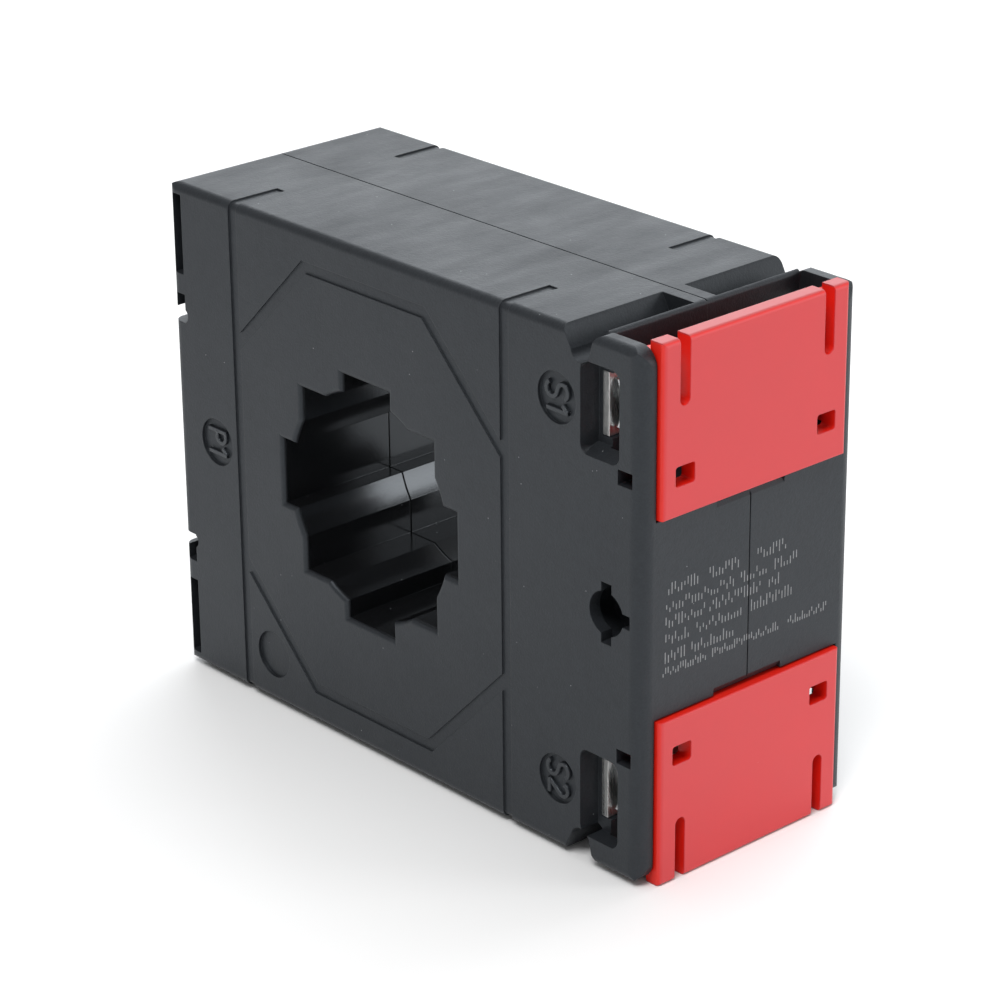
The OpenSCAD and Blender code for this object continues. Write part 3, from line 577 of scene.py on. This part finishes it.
def plated(name, colour, rough, scale, crinkle):
    """Plated metal: streaks drawn along Z that change the roughness, a mottled sheen and a crinkled skin."""
    material, tree, shader = fresh(name)
    drawn = mapped(tree, coordinates(tree), Scale=(1.0, 1.0, 0.05))
    streak = noise(tree, drawn, scale, detail=3.0, rough=0.6)
    mottle = place(tree, "Flow Mottle", Scale=300.0)
    edge = place(tree, "Soft Edge")
    fine = bump(tree, streak, 0.01 * MM, edge["Normal"])
    finish_shader(tree, shader, {
        "Base Color": shade(tree, tuple(colour), remap(tree, mottle["Value"], (0.0, 1.0), (0.86, 1.05))),
        "Metallic": 1.0,
        "Roughness": remap(tree, streak, (0.3, 0.7), (rough - 0.07, rough + 0.12)),
        "Normal": bump(tree, mottle["Value"], crinkle, fine),
    })
    return material


def striped(name, colour, between, scale, axis, rough, metallic):
    """Layered stock, such as wound strip, wire or tape: fine bands across an axis, or rings, with noise."""
    material, tree, shader = fresh(name)
    layers = tree.nodes.new("ShaderNodeTexWave")
    if axis == "RINGS":
        layers.wave_type = "RINGS"
        layers.rings_direction = "Y"
    else:
        layers.wave_type = "BANDS"
        layers.bands_direction = axis
    centred = mapped(tree, coordinates(tree), Location=(-(FOOT_X + WINDOW_X), 0.0, -MID_Z))
    for label, item in (("Vector", centred), ("Scale", scale), ("Distortion", 1.5), ("Detail", 2.0)):
        feed(tree, item, layers.inputs[label])
    mottle = place(tree, "Flow Mottle", Scale=90.0)
    shown = scaled(tree, layers.outputs["Fac"], mottle["Value"])
    finish_shader(tree, shader, {
        "Base Color": mix(tree, shown, (*between, 1.0), (*colour, 1.0)),
        "Metallic": metallic,
        "Roughness": remap(tree, layers.outputs["Fac"], (0.0, 1.0), (rough + 0.1, rough)),
        "Normal": bump(tree, layers.outputs["Fac"], 0.04 * MM),
    })
    return material


def foam_material():
    """Closed cell foam: small cells as bump and tone."""
    material, tree, shader = fresh("foam_cushion")
    cells = tree.nodes.new("ShaderNodeTexVoronoi")
    cells.inputs["Scale"].default_value = 1800.0
    tree.links.new(coordinates(tree), cells.inputs["Vector"])
    depth = cells.outputs["Distance"]
    finish_shader(tree, shader, {
        "Base Color": mix(tree, remap(tree, depth, (0.0, 0.8)), FOAM_WALL, FOAM_CELL),
        "Roughness": remap(tree, depth, (0.0, 0.8), (0.8, 0.95)),
        "Normal": bump(tree, depth, 0.1 * MM),
    })
    return material


def ink_material():
    """Grey pad print, slightly uneven."""
    settings = bpy.context.scene.ct_marks
    material, tree, shader = fresh("print_grey")
    spark = place(tree, "Spark Skin", Scale=2600.0)
    finish_shader(tree, shader, {
        "Base Color": shade(tree, tuple(settings.ink), remap(tree, spark["Value"], (0.0, 1.0), (0.75, 1.1))),
        "Roughness": remap(tree, spark["Value"], (0.0, 1.0), (0.6, 0.7)),
    })
    return material


def floor_material(colour):
    """Pale dull floor with faint clouds."""
    material, tree, shader = fresh("floor_pale")
    clouds = remap(tree, noise(tree, coordinates(tree), 3.0), (0.3, 0.7))
    darker = (*(c * FLOOR_SHADE for c in colour[:3]), 1.0)
    finish_shader(tree, shader, {
        "Base Color": mix(tree, clouds, tuple(colour), darker),
        "Roughness": 0.9,
        "Specular IOR Level": 0.1,
    })
    return material


def dress(names, material):
    """Give CAD nodes one material. Stops with an error if there is no such node."""
    missing = [name for name in names if name not in NODES]
    if missing or not names:
        raise RuntimeError("no node for %s: %s" % (material.name, ", ".join(missing) or "none named"))
    for name in names:
        slots = NODES[name].data.materials
        slots.clear()
        slots.append(material)


# ---------------------------------------------------------------- surfaces


def carry(path, profile, side, up):
    """Closed solid made by carrying a closed profile along a path.

    Point (i, j) is path[i] + profile[j, 0] * side[i] + profile[j, 1] * up. A fan closes each end. The
    profile runs clockwise as seen looking along the path, so that faces point outwards. Returns vertices
    and faces.
    """
    n, k = len(path), len(profile)
    v = path[:, None, :] + profile[None, :, 0:1] * side[:, None, :] + profile[None, :, 1:2] * up
    v = v.reshape(-1, 3)
    i, j = np.meshgrid(np.arange(n - 1), np.arange(k), indexing="ij")
    here = i * k + j
    beside = i * k + (j + 1) % k
    walls = np.stack([here, beside, beside + k, here + k], -1).reshape(-1, 4)
    v = np.vstack([v, v[:k].mean(0), v[-k:].mean(0)])
    edge = np.arange(k)
    first = np.stack([(edge + 1) % k, edge, np.full(k, n * k)], 1)
    last = np.stack([(n - 1) * k + edge, (n - 1) * k + (edge + 1) % k, np.full(k, n * k + 1)], 1)
    return v, walls.tolist() + first.tolist() + last.tolist()


def stroke(points, width, base, top):
    """Raised stroke of a moulded letter in letter space (x right, y up, z out).

    At each point of the path the section, a trapezium with shoulders that is wide at its base, stands
    square to the run there, which is worked out from the points on either side.
    """
    path = np.column_stack([points, np.zeros(len(points))])
    run = np.gradient(path, axis=0)
    run /= np.maximum(np.linalg.norm(run, axis=1, keepdims=True), 1e-9)
    side = np.stack([run[:, 1], -run[:, 0], np.zeros(len(run))], 1)
    section = STROKE_SECTION * (width / 2, top - base) + (0.0, base)
    return carry(path, section, side, np.array([0.0, 0.0, 1.0]))


def arc(cx, cy, rx, ry, start, end, count):
    """Points of an elliptic arc between two angles in degrees."""
    a = np.radians(np.linspace(start, end, count))
    return np.stack([cx + rx * np.cos(a), cy + ry * np.sin(a)], 1)


def line(start, end):
    """Points of a straight run, in equal steps."""
    return np.linspace(start, end, LINE_STEPS + 1)


def letter_paths(letter, cap):
    """Stroke paths of one letter or figure, made of runs and arcs in shares of its height cap and its width.

    Returns the paths and the width.
    """
    w = cap * LETTER_WIDTH[letter]
    if letter == "S":
        r = cap * 0.235
        top = arc(w / 2, cap - r - cap * 0.01, w * 0.42, r, 25, 270, 26)
        low = arc(w / 2, r + cap * 0.01, w * 0.42, r * 1.04, 90, -155, 26)
        return [np.vstack([top, low])], w
    if letter == "P":
        stem, bend = cap * 0.07, w * 0.55
        bowl = np.vstack([
            line((stem, cap * 0.94), (bend, cap * 0.94)),
            arc(bend, cap * 0.70, w * 0.36, cap * 0.24, 90, -90, 20),
            line((bend, cap * 0.46), (stem, cap * 0.46)),
        ])
        return [line((stem, 0.0), (stem, cap)), bowl], w
    if letter == "1":
        stem = w * 0.72
        return [line((stem, 0.0), (stem, cap)), line((stem, cap * 0.97), (0.0, cap * 0.74))], w
    hook = arc(w * 0.5, cap * 0.72, w * 0.42, cap * 0.235, 165, -35, 22)
    tail = line(hook[-1], (w * 0.06, cap * 0.06))
    return [np.vstack([hook, tail]), line((0.0, cap * 0.07), (w, cap * 0.07))], w


def mesh_object(name, verts, faces, material):
    """New piece from arrays, at the origin, riding on the housing."""
    mesh = bpy.data.meshes.new(name)
    mesh.from_pydata(verts.tolist(), [], faces)
    mesh.validate()
    mesh.update()
    mesh.materials.append(material)
    piece = bpy.data.objects.new(name, mesh)
    bpy.context.scene.collection.objects.link(piece)
    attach(piece, "housing")
    return piece


def mark(name, text, x, z, face, material):
    """Moulded mark in the pad at x and z. face is -1 for the P1 side and 1 for the P2 side.

    Letters stand with their tops toward +X and are read down the P1 side and up the P2 side, so letter
    space (right, up, out) goes to (face * Z, X, face * Y).
    """
    settings = bpy.context.scene.ct_marks
    cap = settings.cap
    paths, pen = [], 0.0
    for letter in text:
        runs, width = letter_paths(letter, cap)
        paths += [run + (pen, 0.0) for run in runs]
        pen += width + cap * LETTER_GAP
    total = pen - cap * LETTER_GAP
    verts, faces, count = [], [], 0
    for i, path in enumerate(paths):
        top = -(MARK_SINK + MARK_STEP * (i % 2))
        points, corners = stroke(path, settings.stroke, -PAD_DEPTH - MARK_ROOT, top)
        verts.append(points)
        faces += [[c + count for c in corner] for corner in corners]
        count += len(points)
    right, up, out = np.vstack(verts).T
    placed = np.stack([x + (up - cap / 2), face * (FACE_Y + out), z + face * (right - total / 2)], 1)
    return mesh_object(name, placed, faces, material)


def flat_bars(x, y, z, thick):
    """Bars that lie flat on a face across X: one box per row of y (n, 2) and z (n, 2), thick along X.

    Corner c of a box takes low or high x, y and z from the bits of c. Returns vertices and faces.
    """
    n = len(y)
    corner = np.arange(8)
    bx, by, bz = corner >> 2 & 1, corner >> 1 & 1, corner & 1
    v = np.stack([np.broadcast_to(x + thick * (bx - 0.5), (n, 8)), y[:, by], z[:, bz]], -1).reshape(-1, 3)
    return v, (np.arange(n)[:, None, None] * 8 + BOX_FACES).reshape(-1, 4).tolist()


def print_rows(name, material):
    """Rows of fine upright ticks, in ink, that stand in for small print on the terminal face.

    Tick k stands at pitch * k from the start of its group. Its foot and its head are drawn from a few
    fixed steps of the row height, and no head passes the top of the row.
    """
    width = bpy.context.scene.ct_marks.tick / MM
    rng = np.random.default_rng(PRINT_SEED)
    ys, zs = [], []
    for base, height, spans in PRINT_ROWS:
        pitch = height * TICK_PITCH
        for first, last in spans:
            k = np.arange(int((last - first) / pitch) + 1)
            y = first + k * pitch
            foot = rng.choice(TICK_FOOT, len(k)) * height
            head = np.minimum(foot + rng.choice(TICK_HEAD, len(k)) * height, height)
            ys.append(np.stack([y, y + width], 1))
            zs.append(np.stack([base + foot, base + head], 1))
    y = CAD_BOX[0][1] + np.vstack(ys) * MM
    z = MID_Z + np.vstack(zs) * MM
    return mesh_object(name, *flat_bars(COVER_X - COVER_PROUD, y, z, INK_THICK), material)


def floor_disc(name):
    """Large disc in rings about the origin, closed by a fan, whose rim curves up.

    Past DISH_START the height is DISH_RISE times the square of the distance past it.
    """
    n, k = FLOOR_SIDES, FLOOR_RINGS
    radius = np.linspace(*FLOOR_RADII, k)[:, None]
    height = np.where(radius > DISH_START, DISH_RISE * (radius - DISH_START) ** 2, 0.0) - FLOOR_DROP
    angle = np.linspace(0, 2 * np.pi, n, endpoint=False)
    rings = np.stack([radius * np.cos(angle), radius * np.sin(angle), np.repeat(height, n, 1)], -1)
    v = np.vstack([rings.reshape(-1, 3), (0.0, 0.0, -FLOOR_DROP)])
    i, j = np.meshgrid(np.arange(k - 1), np.arange(n), indexing="ij")
    here, beside = i * n + j, i * n + (j + 1) % n
    quads = np.stack([here, here + n, beside + n, beside], -1).reshape(-1, 4)
    edge = np.arange(n)
    fan = np.stack([np.full(n, n * k), edge, (edge + 1) % n], 1)
    mesh = bpy.data.meshes.new(name)
    mesh.from_pydata(v.tolist(), [], quads.tolist() + fan.tolist())
    mesh.update()
    return mesh


def area_light(scene, name, location, size, power, tint):
    """Soft rectangular light that faces LIGHT_AIM."""
    data = bpy.data.lights.new(name, "AREA")
    data.shape = "RECTANGLE"
    data.size, data.size_y = size
    data.energy = power
    data.color = tint
    light = bpy.data.objects.new(name, data)
    light.location = location
    light.rotation_euler = (Vector(LIGHT_AIM) - Vector(location)).to_track_quat("-Z", "Y").to_euler()
    scene.collection.objects.link(light)


def studio_camera(scene, settings):
    """Camera at distance from the aim point, in the direction of azimuth and elevation, then rolled."""
    level = math.cos(settings.elevation)
    turn = settings.azimuth
    back = Vector((math.sin(turn) * level, -math.cos(turn) * level, math.sin(settings.elevation)))
    right = Vector((math.cos(turn), math.sin(turn), 0.0))
    level_axes = Matrix((right, back.cross(right), back)).transposed().to_4x4()
    axes = level_axes @ Matrix.Rotation(settings.roll, 4, "Z")
    data = bpy.data.cameras.new("studio_camera")
    data.sensor_width = SENSOR_MM
    data.lens = settings.lens
    data.clip_start = CLIP_START
    camera = bpy.data.objects.new("studio_camera", data)
    camera.matrix_world = Matrix.Translation(Vector(settings.aim) + back * settings.distance) @ axes
    scene.collection.objects.link(camera)
    scene.camera = camera


# ---------------------------------------------------------------- operators


class CT_OT_studio(bpy.types.Operator):
    """Build the pale floor, the soft lights and the camera"""

    bl_idname = "ct.studio"
    bl_label = "Studio"

    def execute(self, context):
        scene = context.scene
        settings = scene.ct_studio
        floor = bpy.data.objects.new("studio_floor", floor_disc("studio_floor"))
        floor.data.materials.append(floor_material(settings.floor))
        scene.collection.objects.link(floor)
        world = bpy.data.worlds.new("studio_world")
        world.use_nodes = True
        surroundings = world.node_tree.nodes["Background"].inputs
        surroundings["Color"].default_value = (*WHITE, 1.0)
        surroundings["Strength"].default_value = settings.ambient
        scene.world = world
        for light in LIGHTS:
            area_light(scene, *light)
        studio_camera(scene, settings)
        scene.view_settings.view_transform = "Standard"
        scene.view_settings.look = "None"
        return {"FINISHED"}


class CT_OT_case(bpy.types.Operator):
    """Finish the two case shells"""

    bl_idname = "ct.case"
    bl_label = "Case shells"

    def execute(self, context):
        dress(["front_shell", "rear_shell"], case_plastic())
        return {"FINISHED"}


class CT_OT_covers(bpy.types.Operator):
    """Finish the terminal covers"""

    bl_idname = "ct.covers"
    bl_label = "Terminal covers"

    def execute(self, context):
        dress(["cover_s1", "cover_s2"], cover_plastic())
        return {"FINISHED"}


class CT_OT_terminals(bpy.types.Operator):
    """Finish the terminal plates, clamps, screws and nuts"""

    bl_idname = "ct.terminals"
    bl_label = "Terminal metal"

    def execute(self, context):
        colours = context.scene.ct_metal
        for start, name, colour, rough, scale, crinkle in PLATING:
            metal = plated(name, getattr(colours, colour), rough, scale, crinkle)
            dress([node for node in NODES if node.startswith(start)], metal)
        return {"FINISHED"}


class CT_OT_core(bpy.types.Operator):
    """Finish the core, windings, tapes, cushions and leads inside the case"""

    bl_idname = "ct.core"
    bl_label = "Core and windings"

    def execute(self, context):
        for node, *finish in STOCK:
            dress([node], striped(*finish))
        dress(["cushion_front", "cushion_rear"], foam_material())
        return {"FINISHED"}


class CT_OT_marks(bpy.types.Operator):
    """Add the moulded terminal marks and the print rows"""

    bl_idname = "ct.marks"
    bl_label = "Marks and print"

    def execute(self, context):
        plastic = case_plastic("mark_charcoal", matt=(0.26, 0.34), grain=(0.95, 1.05))
        middle_x = FOOT_X + PAD_P_X
        side_x, side_z = FOOT_X + PAD_S_X, CASE_WIDTH / 2 - PAD_S_SIDE
        for face, side, middle in ((-1, "front", "P1"), (1, "rear", "P2")):
            mark("mark_%s" % middle.lower(), middle, middle_x, MID_Z, face, plastic)
            mark("mark_s1_%s" % side, "S1", side_x, MID_Z + side_z, face, plastic)
            mark("mark_s2_%s" % side, "S2", side_x, MID_Z - side_z, face, plastic)
        print_rows("print_rows", ink_material())
        return {"FINISHED"}


class CT_PT_panel(bpy.types.Panel):
    """Lists the steps in the sidebar"""

    bl_idname = "CT_PT_panel"
    bl_label = "Current transformer"
    bl_space_type = "VIEW_3D"
    bl_region_type = "UI"
    bl_category = "Transformer"

    def draw(self, context):
        for step in STEPS:
            self.layout.operator(step.bl_idname)


STEPS = (CT_OT_studio, CT_OT_case, CT_OT_covers, CT_OT_terminals, CT_OT_core, CT_OT_marks)
SETTINGS = {"ct_case": CaseSettings, "ct_cover": CoverSettings, "ct_metal": MetalSettings,
            "ct_marks": MarkSettings, "ct_studio": StudioSettings}
CLASSES = (*SETTINGS.values(), *STEPS, CT_PT_panel)


def register():
    """Register the classes and hang their settings on the scene."""
    for cls in CLASSES:
        bpy.utils.register_class(cls)
    for name, cls in SETTINGS.items():
        setattr(bpy.types.Scene, name, PointerProperty(type=cls))


def unregister():
    """Take the settings and the classes away."""
    for name in SETTINGS:
        delattr(bpy.types.Scene, name)
    for cls in reversed(CLASSES):
        bpy.utils.unregister_class(cls)


def main():
    """Build everything in order."""
    register()
    bpy.ops.ct.studio()
    bpy.ops.ct.case()
    bpy.ops.ct.covers()
    bpy.ops.ct.terminals()
    bpy.ops.ct.core()
    bpy.ops.ct.marks()
    bpy.context.view_layer.update()


if __name__ == "__main__":
    main()
